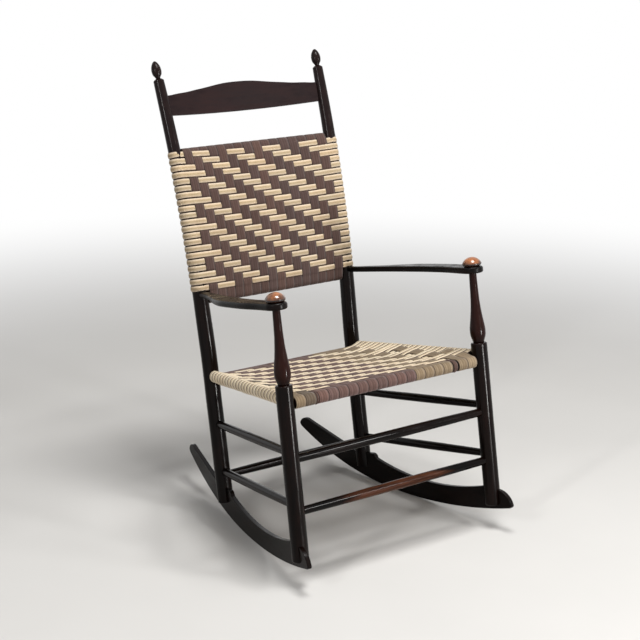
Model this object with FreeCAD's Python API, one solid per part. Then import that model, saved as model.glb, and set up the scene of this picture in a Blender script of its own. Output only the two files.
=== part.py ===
"""Armed rocking chair: turned posts and rungs, one bowed slat, woven tape seat and back.

The chair is drawn in its own frame first. There the front posts stand nearly upright, X runs
to the right, Y to the back, and heights are measured along Z from the end of the front feet.
The last step leans the whole chair back by the angle at which it rests on its rockers, and
sets the lowest point of the rockers at height zero. Millimetres throughout.
"""
import FreeCAD, Part
import math
import os
from FreeCAD import Placement, Rotation, Vector

# How the chair stands
rest_lean_deg = 10.3

# Fits and allowances
tenon_clearance = 0.12
slot_clearance = 0.2
wrap_gap = 0.3
seat_gap = 0.3
cut_overrun = 6.0

# Front posts
front_post_half_gap = 272.5
front_post_inward_slope = 0.0056
front_post_radius = 19.0
front_shoulder_height = 388.2
front_shoulder_round = 3.4
front_foot_round = 3.8
vase_radius = 18.3
vase_height_shares = (0.0, 0.03, 0.09, 0.165, 0.26, 0.36, 0.455, 0.555, 0.75, 1.0)
vase_radius_shares = (0.69, 0.75, 0.93, 1.0, 0.93, 0.79, 0.685, 0.6, 0.52, 0.47)
arm_tenon_radius = 6.3
cap_socket_depth = 11.5

# Back posts
chair_depth = 421.9
back_post_half_gap = 206.1
back_post_outward_slope = 0.0027
back_post_back_slope = 0.0095
back_post_radius = 19.1
splay_height = 398.4
splay_slope = 0.028
bend_height = 494.4
bend_radius = 2806.1
bend_end_height = 1003.2
back_shoulder_height = 1058.4
post_height_shares = (0.045, 0.09, 0.16, 0.24, 0.31, 0.38, 0.45, 0.52, 0.6, 0.68, 0.76, 0.84, 0.9, 0.95, 1.0)
post_radius_shares = (0.97, 1.0, 1.0, 1.0, 1.0, 1.0, 0.985, 0.945, 0.895, 0.852, 0.815, 0.784, 0.75, 0.714, 0.66)

# Finials on the back posts
neck_height = 5.3
neck_radius = 4.9
collar_height = 9.6
collar_radius = 7.1
acorn_height = 47.0
acorn_radius = 11.8
acorn_height_shares = (0.225, 0.27, 0.38, 0.5, 0.64, 0.78, 0.9, 0.97)
acorn_radius_shares = (0.64, 0.8, 0.95, 1.0, 0.95, 0.79, 0.53, 0.29)

# Rungs below the seat
cross_rung_radius = 11.0
cross_rung_end_radius = 9.3
side_rung_radius = 10.1
side_rung_end_radius = 8.6
rung_tenon_depth = 23.0
front_rung_heights = (108.8, 224.6)
side_rung_heights = (123.2, 239.7)
back_rung_height = 111.6

# Rails that carry the seat and the back panel
seat_rail_radius = 12.0
rail_tenon_radius = 7.7
rail_tenon_depth = 24.0
front_rail_height = 345.6
side_rail_height = 356.6
back_rail_height = 342.7
panel_rail_radius = 10.6
panel_tenon_radius = 6.7
panel_tenon_depth = 21.1
lower_panel_rail_height = 540.5
upper_rail_drop = 174.7
upper_panel_rail_height = back_shoulder_height - upper_rail_drop

# Top slat
slat_drop = 82.6
slat_bottom_height = back_shoulder_height - slat_drop
slat_end_height = 48.0
slat_crest_height = 72.2
slat_bow = 26.9
slat_thickness = 7.2
slat_tenon_depth = 18.2
slat_edge_round = 1.4
slat_place_shares = (0.0, 0.2, 0.35, 0.5, 0.6, 0.72, 0.875, 1.0)
slat_crest_shares = (1.0, 0.93, 0.75, 0.55, 0.43, 0.27, 0.13, 0.0)
slat_pin_radius = 2.1
slat_pin_depth = 19.2

# Arms and their caps
arm_under_height = 551.0
arm_front_thickness = 15.2
arm_back_thickness = 12.8
arm_back_drop = 7.6
arm_nose_radius = 25.0
arm_back_tenon_radius = 4.8
arm_back_tenon_depth = 16.3
arm_edge_round = 5.2
arm_place_shares = (0.09, 0.18, 0.27, 0.36, 0.45, 0.54, 0.63, 0.72, 0.81, 0.9, 0.965)
arm_outer_shares = (1.22, 1.58, 1.82, 1.95, 2.04, 1.9, 1.53, 1.085, 0.71, 0.43, 0.4)
arm_inner_shares = (-0.7, -0.35, -0.14, -0.02, 0.01, -0.01, -0.05, -0.15, -0.29, -0.4, -0.4)
cap_radius = 22.6
cap_base_radius = 16.8
cap_rim_height = 6.7
cap_height = 21.6

# Rockers, drawn in their own upright plane; places run back from the front post
rocker_half_gap_front = 276.5
rocker_half_gap_back = 205.0
rocker_thickness = 10.6
rocker_low_place = 129.6
rocker_low_height = -18.6
rocker_radius = 1132.8
tail_curve_place = 336.0
tail_curve_radius = 768.0
nose_place = -55.7
blade_corner_round = 5.8
nose_top_place = -17.3
front_foot_place = 23.0
waist_place = 158.4
step_place = 376.3
step_width = 12.5
step_end_place = 449.3
tail_mid_place = 529.0
tail_top_place = 620.2
tail_end_place = 649.0
nose_top_depth = 46.1
front_foot_depth = 55.7
waist_depth = 46.7
step_low_depth = 62.2
step_high_depth = 70.9
step_end_depth = 53.2
tail_mid_depth = 52.7
tail_top_depth = 38.5
blade_joint_round = 3.0
rocker_edge_round = 1.5
rocker_pin_radius = 3.1
front_pin_height = 18.2
back_pin_height = 63.4

# Woven tapes
tape_thickness = 1.5
back_weft_width = 14.4
back_weft_pitch = 15.61
weft_top_rise = 2.8
weft_bottom_rise = 17.6
back_weft_top_height = upper_panel_rail_height + weft_top_rise
back_warp_width = 23.6
back_warp_low_pitch = 24.05
back_warp_high_pitch = 25.6
seat_warp_width = 26.0
seat_warp_pitch = 26.5
seat_weft_width = 15.7
seat_weft_pitch = 16.0
seat_dip = 3.5
seat_over_run = 67.2
seat_under_run = 24.0

# Pad between the two layers of the seat
pad_front_half_width = 247.0
pad_back_half_width = 187.0
pad_inset = 15.5
pad_corner_round = 28.8
pad_height = 18.2
pad_corner_share = 0.4
pad_level_shares = (0.0, 0.12, 0.5, 0.85, 1.0)
pad_scale_shares = (0.93, 0.98, 1.0, 0.96, 0.75)

up = Vector(0, 0, 1)
corner_share = 1 - math.sqrt(0.5)
rocker_run = math.hypot(chair_depth, rocker_half_gap_front - rocker_half_gap_back)
arm_top_height = arm_under_height + arm_front_thickness
vase_height = arm_under_height - front_shoulder_height - seat_gap


# Small helpers

def mirrored(shape):
    """Copy of a right-hand shape on the left side."""
    return shape.mirror(Vector(0, 0, 0), Vector(1, 0, 0))


def sided(name, shape):
    """The two nodes of a piece that the chair has on each side."""
    return {name + "_left": mirrored(shape), name + "_right": shape}


def lathe(edges):
    """Solid turned about Z from a closed profile of radius (X) and height (Z)."""
    face = Part.Face(Part.Wire(edges))
    return face.revolve(Vector(0, 0, 0), up, 360)


def at(radius, height):
    """Point of a turned profile."""
    return Vector(radius, 0, height)


def line(a, b):
    return Part.LineSegment(a, b).toShape()


def arc(a, middle, b):
    return Part.Arc(a, middle, b).toShape()


def polyline(points):
    return [line(a, b) for a, b in zip(points, points[1:])]


def spline(points, start=None, end=None):
    """Smooth curve through points, with its end directions where they matter."""
    curve = Part.BSplineCurve()
    if start is None:
        curve.interpolate(Points=points)
    else:
        curve.interpolate(Points=points, InitialTangent=start, FinalTangent=end)
    return curve.toShape()


def stand(shape, base, direction):
    """Move a shape drawn along Z so that it starts at base and runs along direction."""
    shape = shape.copy()
    shape.Placement = Placement(base, Rotation(up, direction))
    return shape


def rod(base, direction, radius, length):
    return Part.makeCylinder(radius, length, base, direction)


def between(a, b, share):
    return a + (b - a) * share


def midpoint(a, b):
    return (a + b) / 2


# Centre lines of the posts on the right-hand side

def front_axis(height):
    return Vector(front_post_half_gap - front_post_inward_slope * height, 0, height)


def front_direction():
    return Vector(-front_post_inward_slope, 0, 1).normalize()


def back_axis(height):
    """Centre of the back post: straight, then splayed outwards and bent backwards."""
    x = back_post_half_gap + back_post_outward_slope * height
    if height > splay_height:
        x += (splay_slope - back_post_outward_slope) * (height - splay_height)
    y = chair_depth + back_post_back_slope * (height - front_rung_heights[0])
    bent = min(max(height - bend_height, 0), bend_end_height - bend_height)
    y += bent ** 2 / (2 * bend_radius)
    y += bent / bend_radius * max(height - bend_end_height, 0)
    return Vector(x, y, height)


def back_direction(height):
    step = cut_overrun
    return (back_axis(height + step) - back_axis(height - step)).normalize()


def back_radius(height):
    """Radius of the back post, read between its stations."""
    heights = [share * back_shoulder_height for share in post_height_shares]
    radii = [share * back_post_radius for share in post_radius_shares]
    for low, high, a, b in zip(heights, heights[1:], radii, radii[1:]):
        if low <= height <= high:
            return a + (b - a) * (height - low) / (high - low)
    return radii[0] if height < heights[0] else radii[-1]


# Posts before their mortises are cut

def front_post_body():
    neck = vase_radius * vase_radius_shares[0]
    r, top = front_post_radius, front_shoulder_height
    turn = front_shoulder_round * corner_share
    foot_turn = front_foot_round * corner_share
    vase = [at(vase_radius * b, top + vase_height * a)
            for a, b in zip(vase_height_shares, vase_radius_shares)]
    tenon_top = arm_top_height + cap_socket_depth
    profile = [
        line(at(0, 0), at(r - front_foot_round, 0)),
        arc(at(r - front_foot_round, 0), at(r - foot_turn, foot_turn), at(r, front_foot_round)),
        line(at(r, front_foot_round), at(r, top - front_shoulder_round)),
        arc(at(r, top - front_shoulder_round), at(r - turn, top - turn), at(r - front_shoulder_round, top)),
        line(at(r - front_shoulder_round, top), at(neck, top)),
        spline(vase),
        line(vase[-1], at(arm_tenon_radius, top + vase_height)),
        line(at(arm_tenon_radius, top + vase_height), at(arm_tenon_radius, tenon_top)),
        line(at(arm_tenon_radius, tenon_top), at(0, tenon_top)),
        line(at(0, tenon_top), at(0, 0)),
    ]
    return stand(lathe(profile), front_axis(0), front_direction())


def finial():
    """Collar and acorn, turned about Z with the shoulder of the post at height zero."""
    shoulder = back_post_radius * post_radius_shares[-1]
    acorn = [at(acorn_radius * b, acorn_height * a) for a, b in zip(acorn_height_shares, acorn_radius_shares)]
    tip = at(0, acorn_height)
    sink, edge = at(shoulder, -neck_height), at(shoulder, 0)
    neck, collar = at(neck_radius, neck_height), at(collar_radius, collar_height)
    profile = [
        line(at(0, -neck_height), sink),
        line(sink, edge),
        spline([edge, at((shoulder + neck_radius) / 2, neck_height * 2 / 3), neck]),
        spline([neck, midpoint(neck, collar), collar]),
        line(collar, acorn[0]),
        spline(acorn + [tip]),
        line(tip, at(0, -neck_height)),
    ]
    return lathe(profile)


def back_post_body():
    sections = []
    for height_share, radius_share in zip(post_height_shares, post_radius_shares):
        height = height_share * back_shoulder_height
        circle = Part.Circle(back_axis(height), back_direction(height), back_post_radius * radius_share)
        sections.append(Part.Wire(circle.toShape()))
    body = Part.makeLoft(sections, True, False)
    top = stand(finial(), back_axis(back_shoulder_height), back_direction(back_shoulder_height))
    return body.fuse(top).removeSplitter()


# Rungs and rails, with the mortises that they need

class Stretcher:
    """Turned bar from one post to another, with a tenon at each end."""

    def __init__(self, start, end, start_radius, end_radius, tenon_depth, tenon_radius):
        self.start, self.end = start, end
        self.along = (end - start).normalize()
        self.length = (end - start).Length
        self.faces = (start_radius, self.length - end_radius)
        self.tips = (start_radius - tenon_depth, self.length - end_radius + tenon_depth)
        self.tenon_radius = tenon_radius

    def swelled(self, middle_radius):
        """Rung: thickest in the middle and drawn down to its tenons."""
        first, last = self.tips
        a, b = self.faces
        r = self.tenon_radius
        profile = [
            line(at(0, first), at(r, first)),
            line(at(r, first), at(r, a)),
            arc(at(r, a), at(middle_radius, (a + b) / 2), at(r, b)),
            line(at(r, b), at(r, last)),
            line(at(r, last), at(0, last)),
            line(at(0, last), at(0, first)),
        ]
        return stand(lathe(profile), self.start, self.along)

    def straight(self, radius):
        """Rail: one thickness, with a shoulder just clear of each post."""
        first, last = self.tips
        a, b = self.faces[0] + seat_gap, self.faces[1] - seat_gap
        r = self.tenon_radius
        points = [at(0, first), at(r, first), at(r, a), at(radius, a),
                  at(radius, b), at(r, b), at(r, last), at(0, last)]
        return stand(lathe(polyline(points + points[:1])), self.start, self.along)

    def mortises(self):
        """The two holes that take the tenons."""
        radius = self.tenon_radius + tenon_clearance
        length = self.faces[0] - self.tips[0] + tenon_clearance + cut_overrun
        first = self.start + self.along * (self.tips[0] - tenon_clearance)
        last = self.start + self.along * (self.tips[1] + tenon_clearance)
        return [rod(first, self.along, radius, length), rod(last, self.along * -1, radius, length)]


def side_stretcher(front_height, back_height, tenon_depth, tenon_radius):
    return Stretcher(front_axis(front_height), back_axis(back_height), front_post_radius,
                     back_radius(back_height), tenon_depth, tenon_radius)


def cross_stretcher(axis, height, post_radius, tenon_depth, tenon_radius):
    right = axis(height)
    left = Vector(-right.x, right.y, right.z)
    return Stretcher(left, right, post_radius, post_radius, tenon_depth, tenon_radius)


# Rockers

def rocker_floor(place):
    """Height of the rocker's lower edge."""
    drop = math.sqrt(rocker_radius ** 2 - (min(place, tail_curve_place) - rocker_low_place) ** 2)
    height = rocker_low_height + rocker_radius - drop
    if place > tail_curve_place:
        turn = (tail_curve_place - rocker_low_place) / rocker_radius
        turned = turn + (place - tail_curve_place) / tail_curve_radius
        height += tail_curve_radius * (math.sqrt(1 - turn ** 2) - math.sqrt(1 - turned ** 2))
    return height


def edge_point(place, depth=0.0):
    """Point of the rocker's outline, a given depth above its lower edge."""
    return Vector(0, place, rocker_floor(place) + depth)


def rocker_outline():
    nose_low = edge_point(nose_place + blade_corner_round)
    nose_front = edge_point(nose_place, blade_corner_round)
    corner = blade_corner_round * corner_share
    nose_turn = edge_point(nose_place + corner, corner)
    nose_top = edge_point(nose_top_place, nose_top_depth)
    nose_mid = midpoint(nose_front, nose_top) + Vector(0, -blade_corner_round, blade_corner_round)
    foot = edge_point(front_foot_place, front_foot_depth)
    step_low = edge_point(step_place, step_low_depth)
    step_high = edge_point(step_place + step_width, step_high_depth)
    step_turn = midpoint(step_low, step_high) + Vector(0, -step_width / 5, step_width / 5)
    step_end = edge_point(step_end_place, step_end_depth)
    tail_top = edge_point(tail_top_place, tail_top_depth)
    tail_tip = edge_point(tail_end_place, blade_corner_round)
    tail_turn = midpoint(tail_top, tail_tip) + Vector(0, blade_corner_round, blade_corner_round) * 3 / 4
    tail_corner = edge_point(tail_end_place - corner, corner)
    tail_low = edge_point(tail_end_place - blade_corner_round)
    tail_start = edge_point(tail_curve_place)
    return [
        arc(nose_low, nose_turn, nose_front),
        arc(nose_front, nose_mid, nose_top),
        line(nose_top, foot),
        arc(foot, edge_point(waist_place, waist_depth), step_low),
        arc(step_low, step_turn, step_high),
        line(step_high, step_end),
        arc(step_end, edge_point(tail_mid_place, tail_mid_depth), tail_top),
        arc(tail_top, tail_turn, tail_tip),
        arc(tail_tip, tail_corner, tail_low),
        arc(tail_low, edge_point((tail_curve_place + tail_end_place) / 2), tail_start),
        arc(tail_start, edge_point((tail_curve_place + nose_place) / 2), nose_low),
    ]


def rocker_place(place, height):
    """Point in the middle plane of the right-hand rocker."""
    share = place / rocker_run
    x = rocker_half_gap_front + (rocker_half_gap_back - rocker_half_gap_front) * share
    return Vector(x, chair_depth * share, height)


def rocker_normal():
    toe = (rocker_half_gap_front - rocker_half_gap_back) / chair_depth
    return Vector(1, toe, 0).normalize()


def rocker_blank(thickness, grow):
    """Flat blade with every joint of its outline eased; grow widens it for the slots in the feet."""
    outline = Part.Wire(rocker_outline())
    for step in (-blade_joint_round, 2 * blade_joint_round, grow - blade_joint_round):
        outline = outline.makeOffset2D(step)
    blade = Part.Face(outline).extrude(Vector(thickness, 0, 0))
    blade.translate(Vector(-thickness / 2, 0, 0))
    turn = Rotation(Vector(1, 0, 0), rocker_normal())
    blade.Placement = Placement(rocker_place(0, 0), turn).multiply(blade.Placement)
    return blade


def rocker_body():
    blade = rocker_blank(rocker_thickness, 0)
    normal = rocker_normal()
    rims = []
    for edge in blade.Edges:
        run = edge.valueAt(edge.LastParameter) - edge.valueAt(edge.FirstParameter)
        if abs(run.normalize().dot(normal)) < 0.5:
            rims.append(edge)
    return blade.makeFillet(rocker_edge_round, rims)


def rocker_pin(place, height, axis, post):
    """Dowel through the foot and the rocker, trimmed flush with the post."""
    base = rocker_place(place, height) - rocker_normal() * 2 * front_post_radius
    pin = rod(base, rocker_normal(), rocker_pin_radius, 4 * front_post_radius)
    hole = rod(base, rocker_normal(), rocker_pin_radius + tenon_clearance, 4 * front_post_radius)
    return pin.common(post), hole


# Top slat

def slat_frame():
    """Placement of the slat's own frame: X along the chord, Y to the back, Z up the posts."""
    right = back_axis(slat_bottom_height)
    lean = back_direction(slat_bottom_height + slat_end_height / 2)
    tilt = math.degrees(math.atan2(lean.y, lean.z))
    return Placement(Vector(0, right.y, right.z), Rotation(Vector(1, 0, 0), -tilt))


def slat_blank(thickness, extra):
    """Bowed and crested board; extra is added to its height and length for the mortises."""
    post = back_axis(slat_bottom_height + slat_end_height / 2).x
    face_x = post - back_radius(slat_bottom_height)
    half = face_x + slat_tenon_depth + extra
    bow_at_end = slat_bow * (1 - (half / post) ** 2)
    reach = half + cut_overrun
    tall = slat_crest_height + 2 * cut_overrun

    def bow_arc(offset, height):
        return (Vector(-half, bow_at_end + offset, height), Vector(0, slat_bow + offset, height),
                Vector(half, bow_at_end + offset, height))

    back = bow_arc(thickness / 2, -cut_overrun)
    front = bow_arc(-thickness / 2, -cut_overrun)
    ends = [line(back[2], front[2]), line(front[0], back[0])]
    plan = Part.Wire([arc(*back), ends[0], arc(front[2], front[1], front[0]), ends[1]])
    board = Part.Face(plan).extrude(Vector(0, 0, tall))
    crest = slat_crest_height - slat_end_height
    right = [Vector(face_x * a, -reach, slat_end_height + crest * b + extra)
             for a, b in zip(slat_place_shares, slat_crest_shares)]
    left = [Vector(-p.x, p.y, p.z) for p in reversed(right[1:])]
    shoulder = Vector(reach, -reach, slat_end_height + extra)
    low = Vector(reach, -reach, -extra)
    outline = [
        spline(left + right, Vector(1, 0, 0), Vector(1, 0, 0)),
        line(right[-1], shoulder),
        line(shoulder, low),
        line(low, Vector(-low.x, low.y, low.z)),
        line(Vector(-low.x, low.y, low.z), Vector(-shoulder.x, shoulder.y, shoulder.z)),
        line(Vector(-shoulder.x, shoulder.y, shoulder.z), left[0]),
    ]
    front_view = Part.Face(Part.Wire(outline)).extrude(Vector(0, 2 * reach, 0))
    slat = board.common(front_view)
    if not extra:
        tops = [edge for edge in slat.Edges if edge.BoundBox.ZMin > slat_end_height - slat_edge_round
                and edge.BoundBox.XLength > slat_crest_height]
        slat = slat.makeFillet(slat_edge_round, tops)
    slat.Placement = slat_frame().multiply(slat.Placement)
    return slat


def slat_pin(post):
    """Small pin driven in from behind the post, through the slat's tenon."""
    frame = slat_frame()
    height = slat_bottom_height + slat_end_height / 2
    centre = back_axis(height)
    back = frame.Rotation.multVec(Vector(0, 1, 0))
    face = centre.x - back_radius(height) / 2
    outside = Vector(face, centre.y, centre.z) + back * (back_post_radius + cut_overrun)
    length = slat_pin_depth + back_post_radius + cut_overrun - back_radius(height)
    pin = rod(outside, back * -1, slat_pin_radius, length)
    hole = rod(outside, back * -1, slat_pin_radius + tenon_clearance, length + tenon_clearance)
    return pin.common(post), hole


# Arms and caps

def arm_centre(share):
    """Point between the two posts that carry the arm."""
    return between(front_axis(arm_under_height), back_axis(arm_under_height), share)


def arm_body():
    outer, inner = [], []
    for share, out, into in zip(arm_place_shares, arm_outer_shares, arm_inner_shares):
        centre = arm_centre(share)
        outer.append(Vector(centre.x + arm_nose_radius * out, centre.y, 0))
        inner.append(Vector(centre.x + arm_nose_radius * into, centre.y, 0))
    nose = arm_centre(0)
    nose.z = 0
    side = Vector(arm_nose_radius, 0, 0)
    ahead = Vector(0, -arm_nose_radius, 0)
    back_way = Vector(0, 1, 0)
    end_way = (arm_centre(1) - arm_centre(0)).normalize()
    outline = [
        arc(nose - side, nose + ahead, nose + side),
        spline([nose + side] + outer, back_way, end_way),
        line(outer[-1], inner[-1]),
        spline([nose - side] + inner, back_way, end_way),
    ]
    wire = Part.Wire(Part.__sortEdges__(outline))
    tall = arm_top_height + cut_overrun
    board = Part.Face(wire).extrude(Vector(0, 0, tall))
    reach = chair_depth + arm_nose_radius
    front_low, front_high = arm_under_height, arm_top_height
    back_high = arm_top_height - arm_back_drop
    back_low = back_high - arm_back_thickness
    start = -arm_nose_radius - cut_overrun
    side_view = [Vector(0, start, front_low), Vector(0, start, front_high), Vector(0, 0, front_high),
                 Vector(0, reach, back_high), Vector(0, reach, back_low), Vector(0, 0, front_low)]
    wedge = Part.Face(Part.makePolygon(side_view + side_view[:1]))
    wedge = wedge.extrude(Vector(reach + front_post_half_gap, 0, 0))
    arm = board.common(wedge)
    rims = [edge for edge in arm.Edges if edge.BoundBox.YLength > arm_nose_radius / 2]
    arm = arm.makeFillet(arm_edge_round, rims)
    hole_radius = arm_tenon_radius + tenon_clearance
    hole = rod(front_axis(0), front_direction(), hole_radius, arm_top_height + cut_overrun)
    arm = arm.cut(hole)
    seat = arm_seat()
    trim = rod(seat - back_direction(seat.z) * arm_front_thickness, back_direction(seat.z),
               back_radius(seat.z) + tenon_clearance, 2 * arm_front_thickness)
    return arm.cut(trim)


def arm_seat():
    """Point on the back post's centre line at the middle of the arm's end."""
    return back_axis(arm_top_height - arm_back_drop - arm_back_thickness / 2)


def arm_back_tenon(extra):
    """Round tenon of the arm in the back post; extra makes the hole for it."""
    seat = arm_seat()
    front = arm_centre(arm_place_shares[-3])
    middle = arm_nose_radius * (arm_outer_shares[-3] + arm_inner_shares[-3]) / 2
    front = Vector(front.x + middle, front.y, seat.z)
    along = (seat - front).normalize()
    start = seat - along * (back_radius(seat.z) + arm_back_tenon_radius)
    length = arm_back_tenon_depth + arm_back_tenon_radius + extra
    return rod(start, along, arm_back_tenon_radius + extra, length)


def arm_cap():
    """Mushroom cap over the post's tenon, with a socket in its underside."""
    rim = at(cap_radius, cap_rim_height)
    under = at((cap_base_radius + 2 * cap_radius) / 3, cap_rim_height / 3)
    top = at(0, cap_height)
    rise = cap_height - cap_rim_height
    dome_radius = (cap_radius ** 2 + rise ** 2) / (2 * rise)
    half_turn = math.asin(min(cap_radius / dome_radius, 1)) / 2
    dome = at(dome_radius * math.sin(half_turn), cap_height - dome_radius * (1 - math.cos(half_turn)))
    profile = [
        line(at(0, 0), at(cap_base_radius, 0)),
        arc(at(cap_base_radius, 0), under, rim),
        arc(rim, dome, top),
        line(top, at(0, 0)),
    ]
    cap = lathe(profile)
    socket = rod(Vector(0, 0, -cut_overrun), up, arm_tenon_radius + tenon_clearance,
                 cap_socket_depth + tenon_clearance + cut_overrun)
    cap = cap.cut(socket)
    return stand(cap, front_axis(arm_top_height + seat_gap), front_direction())


# Tapes: each turn is one closed band

def band(outer, inner, sweep):
    """Closed band between two closed wires, swept along a vector."""
    return Part.Face(outer).cut(Part.Face(inner)).extrude(sweep)


def back_weft_count():
    """As many crossways turns as fill the panel's height."""
    room = back_weft_top_height - lower_panel_rail_height - weft_bottom_rise
    return int(room / back_weft_pitch)


def back_warp_count():
    """As many upright turns as fit between the posts at the lower rail."""
    room = back_axis(lower_panel_rail_height).x - back_radius(lower_panel_rail_height)
    return int(2 * room / back_warp_low_pitch)


def back_weft_turn(row):
    """One crossways turn round both back posts."""
    height = back_weft_top_height - back_weft_pitch * (row + 0.5)
    centre = back_axis(height)
    radius = back_radius(height)
    lean = back_direction(height)
    ahead = Vector(0, -lean.z, lean.y)
    normal = Vector(0, lean.y, lean.z).normalize()
    ahead.normalize()
    middle = Vector(0, centre.y, centre.z) - normal * back_weft_width / 2

    def loop(reach):
        side = Vector(centre.x, 0, 0)
        right, left = middle + side, middle - side
        tip = Vector(reach, 0, 0)
        return Part.Wire([
            arc(right + ahead * reach, right + tip, right - ahead * reach),
            line(right - ahead * reach, left - ahead * reach),
            arc(left - ahead * reach, left - tip, left + ahead * reach),
            line(left + ahead * reach, right + ahead * reach),
        ])

    inside = radius + wrap_gap
    return band(loop(inside + tape_thickness), loop(inside), normal * back_weft_width)


def back_warp_turn(column):
    """One upright turn round the two rails of the back panel, fanned out like the posts."""
    place = column - (back_warp_count() - 1) / 2
    x = place * (back_warp_low_pitch + back_warp_high_pitch) / 2 - back_warp_width / 2
    heights = (lower_panel_rail_height, (lower_panel_rail_height + upper_panel_rail_height) / 2,
               upper_panel_rail_height)
    centres, aheads, alongs = [], [], []
    for height in heights:
        centre, lean = back_axis(height), back_direction(height)
        centres.append(Vector(x, centre.y, height))
        aheads.append(Vector(0, -lean.z, lean.y).normalize())
        alongs.append(Vector(0, lean.y, lean.z).normalize())

    def loop(reach):
        front = [c + a * reach for c, a in zip(centres, aheads)]
        back = [c - a * reach for c, a in zip(centres, aheads)]
        return Part.Wire([
            arc(*front),
            arc(front[2], centres[2] + alongs[2] * reach, back[2]),
            arc(back[2], back[1], back[0]),
            arc(back[0], centres[0] - alongs[0] * reach, front[0]),
        ])

    inside = panel_rail_radius + 2 * wrap_gap
    turn = band(loop(inside + tape_thickness), loop(inside), Vector(back_warp_width, 0, 0))
    spread = place * (back_warp_high_pitch - back_warp_low_pitch)
    fan = math.atan2(spread, upper_panel_rail_height - lower_panel_rail_height)
    turn.rotate(centres[1] + Vector(back_warp_width / 2, 0, 0), Vector(0, 1, 0), math.degrees(fan))
    return turn


def seat_level(place):
    """Height of the line between the centres of the front and back seat rails."""
    return front_rail_height + (back_rail_height - front_rail_height) * place / back_axis(back_rail_height).y


def warp_height(place, reach):
    """Height of the top of the front-to-back tapes, reach above the rails' centres."""
    share = place / back_axis(back_rail_height).y
    return seat_level(place) + reach - 4 * seat_dip * share * (1 - share)


def seat_warp_turn(x):
    """One front-to-back turn round the front and back rails of the seat."""
    x = x - seat_warp_width / 2
    front = Vector(x, 0, front_rail_height)
    back = Vector(x, back_axis(back_rail_height).y, back_rail_height)

    def loop(reach):
        lift = Vector(0, 0, reach)
        out = Vector(0, reach, 0)
        dip = Vector(x, back.y / 2, warp_height(back.y / 2, reach))
        return Part.Wire([
            arc(front + lift, dip, back + lift),
            arc(back + lift, back + out, back - lift),
            line(back - lift, front - lift),
            arc(front - lift, front - out, front + lift),
        ])

    inside = seat_rail_radius + wrap_gap
    return band(loop(inside + tape_thickness), loop(inside), Vector(seat_warp_width, 0, 0))


def side_rail_place(place):
    """Centre of the right-hand seat rail at a distance behind the front post."""
    start, end = front_axis(side_rail_height), back_axis(side_rail_height)
    return between(start, end, place / (end.y - start.y))


def seat_warp_count():
    """As many front-to-back turns as fit between the back posts."""
    room = back_axis(back_rail_height).x - back_radius(back_rail_height)
    return int(2 * room / seat_warp_pitch)


def seat_warp_turns():
    half = (seat_warp_count() - 1) / 2
    return [seat_warp_turn((i - half) * seat_warp_pitch) for i in range(seat_warp_count())]


def seat_gusset_strips():
    """Strips that fill the seat's wide front corners: hooked under the front rail, laid back over its top."""
    strips = []
    start, end = side_rail_place(0), side_rail_place(chair_depth)
    slope = (start.x - end.x) / (end.y - start.y)
    room = front_axis(front_rail_height).x - front_post_radius - seat_gap
    spare = room - seat_warp_count() * seat_warp_pitch / 2
    for i in range(int(spare / seat_warp_pitch)):
        outer = room - i * seat_warp_pitch
        x = outer - seat_warp_width / 2
        length = (start.x - seat_rail_radius - wrap_gap - outer) / slope
        reach = seat_warp_width + seat_rail_radius
        low = front_rail_height - reach
        kept = Part.makeBox(2 * reach, length + reach, 2 * reach, Vector(x - reach, -reach, low))
        under = Part.makeBox(2 * reach, length + reach, reach, Vector(x - reach, 0, low))
        strip = seat_warp_turn(x).common(kept).cut(under)
        strips += [strip, mirrored(strip)]
    return strips


def seat_weft_edge(place, extra):
    """One edge of a side-to-side turn; extra is the thickness of tape outside the wire."""
    rail = side_rail_place(place)
    radius = seat_rail_radius + 2 * wrap_gap
    reach = radius + tape_thickness
    high = warp_height(place, reach) + extra
    low = seat_level(place) - reach - extra
    over_flat, under_flat = rail.x - seat_over_run, rail.x - seat_under_run
    right, left = rail, Vector(-rail.x, rail.y, rail.z)
    rise, out = Vector(0, 0, radius + extra), Vector(radius + extra, 0, 0)
    over = [left + rise, Vector(-over_flat, place, high), Vector(over_flat, place, high), right + rise]
    under = [right - rise, Vector(under_flat, place, low), Vector(-under_flat, place, low), left - rise]
    return Part.Wire(polyline(over) + [arc(right + rise, right + out, right - rise)]
                     + polyline(under) + [arc(left - rise, left - out, left + rise)])


def seat_weft_turns():
    """Side-to-side turns, as many as fit between the front and back posts."""
    end = back_axis(side_rail_height).y - back_post_radius
    count = int((end - front_post_radius) / seat_weft_pitch)
    middle = (front_post_radius + end) / 2
    return [seat_weft_turn(middle + (i - count / 2) * seat_weft_pitch) for i in range(count)]


def seat_weft_turn(first):
    """One side-to-side turn: over the side rails, dipping onto the front-to-back tapes."""
    places = (first, first + seat_weft_width)
    outer, inner = [Part.makeLoft([seat_weft_edge(place, extra) for place in places], True, True)
                    for extra in (tape_thickness, 0)]
    return outer.cut(inner)


# Seat pad

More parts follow.
